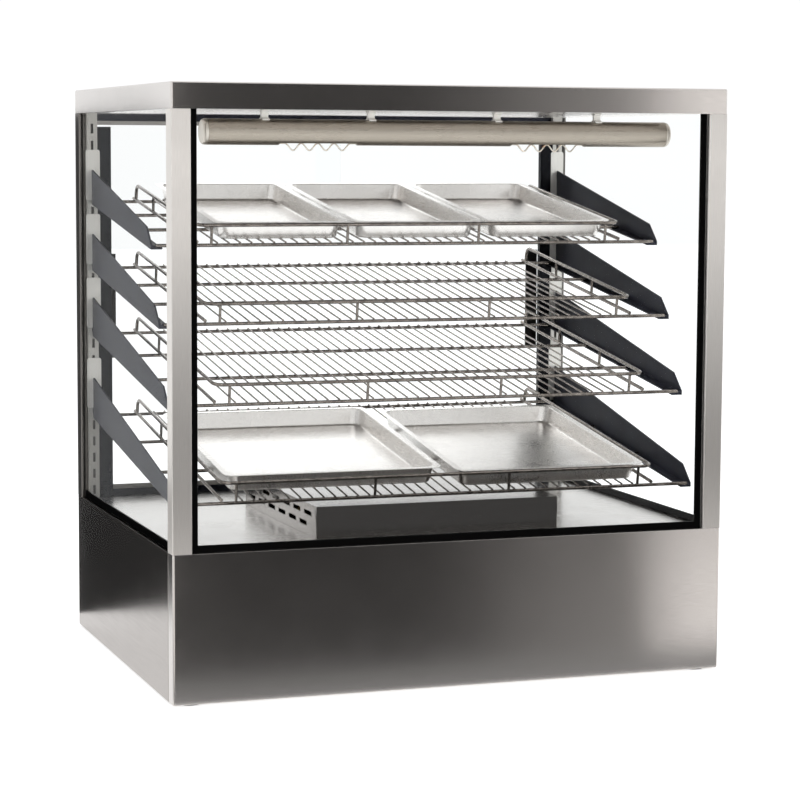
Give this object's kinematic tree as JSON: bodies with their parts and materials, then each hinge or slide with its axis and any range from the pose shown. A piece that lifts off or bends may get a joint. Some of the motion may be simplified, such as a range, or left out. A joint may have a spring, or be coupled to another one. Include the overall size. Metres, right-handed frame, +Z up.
{
  "type": "heated display counter",
  "caption": "Glass display cabinet on a stainless base that keeps food warm on sloping wire shelves, with a lamp under the roof, a fan heater in the base and rear sliding doors.",
  "frame": {"origin": "centre of the footprint on the surface that the feet stand on", "axes": "+Z up, +X to the right as seen by the shopper at the front glass, +Y from the front glass towards the sliding doors at the rear"},
  "size_m": [0.8, 0.6, 0.825],
  "materials": {
    "base_steel": "fine brushed stainless, dark reflections",
    "roof_steel": "fine brushed stainless",
    "deck_steel": "pale brushed stainless",
    "post_steel": "bright polished stainless",
    "clear_glass": "clear toughened glass",
    "black_seal": "matte black seal",
    "foot_rubber": "matte",
    "track_dark": "dark anodised",
    "door_rail": "dark anodised",
    "standard_pale": "pale grey powder coat",
    "upright_black": "black powder coat",
    "bracket_black": "charcoal powder coat",
    "tray_steel": "bright polished stainless",
    "shelf_wire": "dark chrome plate",
    "lamp_metal": "satin beige-grey",
    "hanger_white": "white",
    "quartz": "clear quartz",
    "ceramic": "unglazed white",
    "guard_wire": "bright wire",
    "element_metal": "heat-darkened sheath",
    "fan_black": "matte black",
    "motor_metal": "plain",
    "control_steel": "fine brushed stainless",
    "thermostat_white": "cream moulded",
    "knob_black": "black moulded",
    "switch_black": "black moulded",
    "rocker_green": "green tinted",
    "rocker_black": "black moulded",
    "pilot_amber": "amber tinted",
    "gland_black": "black nylon",
    "terminal_white": "moulded",
    "screw_steel": "bright zinc"
  },
  "bodies": {
    "cabinet": {"base_front_panel": "base_steel", "base_side_panel_left": "base_steel", "base_side_panel_right": "base_steel", "base_floor": "base_steel", "rear_panel": "base_steel", "panel_screws": "screw_steel", "feet": "foot_rubber", "deck": "deck_steel", "post_front_left": "post_steel", "post_front_right": "post_steel", "post_rear_left": "post_steel", "post_rear_right": "post_steel", "roof_cap": "roof_steel", "ceiling_panel": "roof_steel", "front_glass": "clear_glass", "side_glass_left": "clear_glass", "side_glass_right": "clear_glass", "glass_seals": "black_seal", "door_track_bottom": "track_dark", "door_track_top": "track_dark", "standards": "standard_pale", "uprights": "upright_black", "lamp_housing": "lamp_metal", "lamp_end_caps": "lamp_metal", "lamp_hangers": "hanger_white", "halogen_tubes": "quartz", "lamp_holders": "ceramic", "lamp_guards": "guard_wire", "heater_cover": "deck_steel", "heating_element": "element_metal", "fan_frame": "fan_black", "fan_motor": "motor_metal", "control_panel": "control_steel", "thermostat_body": "thermostat_white", "switch_bodies": "switch_black", "pilot_lamp": "pilot_amber", "cord_gland": "gland_black", "terminal_block": "terminal_white", "bracket_1_left": "bracket_black", "bracket_1_right": "bracket_black", "bracket_2_left": "bracket_black", "bracket_2_right": "bracket_black", "bracket_3_left": "bracket_black", "bracket_3_right": "bracket_black", "bracket_4_left": "bracket_black", "bracket_4_right": "bracket_black"},
    "door_left": {"door_glass_left": "clear_glass", "door_fittings_left": "door_rail"},
    "door_right": {"door_glass_right": "clear_glass", "door_fittings_right": "door_rail"},
    "thermostat_dial": {"thermostat_knob": "knob_black"},
    "power_switch": {"power_rocker": "rocker_green"},
    "lamp_switch": {"lamp_rocker": "rocker_black"},
    "fan": {"fan_rotor": "fan_black"},
    "wire_shelf_1": {"shelf_1": "shelf_wire", "top_trays": "tray_steel"},
    "wire_shelf_2": {"shelf_2": "shelf_wire"},
    "wire_shelf_3": {"shelf_3": "shelf_wire"},
    "wire_shelf_4": {"shelf_4": "shelf_wire", "lower_trays": "tray_steel"}
  },
  "joints": [
    {"name": "door_left_slide", "type": "slide", "parent": "cabinet", "child": "door_left", "axis": [1, 0, 0], "range_m": [0, 0.354]},
    {"name": "door_right_slide", "type": "slide", "parent": "cabinet", "child": "door_right", "axis": [-1, 0, 0], "range_m": [0, 0.354]},
    {"name": "shelf_1_lift", "type": "slide", "parent": "cabinet", "child": "wire_shelf_1", "axis": [0, 0, 1], "range_m": [0, 0.03]},
    {"name": "shelf_2_lift", "type": "slide", "parent": "cabinet", "child": "wire_shelf_2", "axis": [0, 0, 1], "range_m": [0, 0.03]},
    {"name": "shelf_3_lift", "type": "slide", "parent": "cabinet", "child": "wire_shelf_3", "axis": [0, 0, 1], "range_m": [0, 0.03]},
    {"name": "shelf_4_lift", "type": "slide", "parent": "cabinet", "child": "wire_shelf_4", "axis": [0, 0, 1], "range_m": [0, 0.03]},
    {"name": "thermostat_turn", "type": "hinge", "parent": "cabinet", "child": "thermostat_dial", "pos_m": [0.306, 0.2642, 0.11], "axis": [0, 1, 0], "range_deg": [0, 270]},
    {"name": "power_rocker_tip", "type": "hinge", "parent": "cabinet", "child": "power_switch", "pos_m": [0.236, 0.2652, 0.11], "axis": [-1, 0, 0], "range_deg": [0, 20]},
    {"name": "lamp_rocker_tip", "type": "hinge", "parent": "cabinet", "child": "lamp_switch", "pos_m": [0.196, 0.2652, 0.11], "axis": [-1, 0, 0], "range_deg": [0, 20]},
    {"name": "fan_spin", "type": "hinge", "parent": "cabinet", "child": "fan", "pos_m": [0, -0.02, 0.18], "axis": [0, 0, 1], "continuous": true}
  ]
}
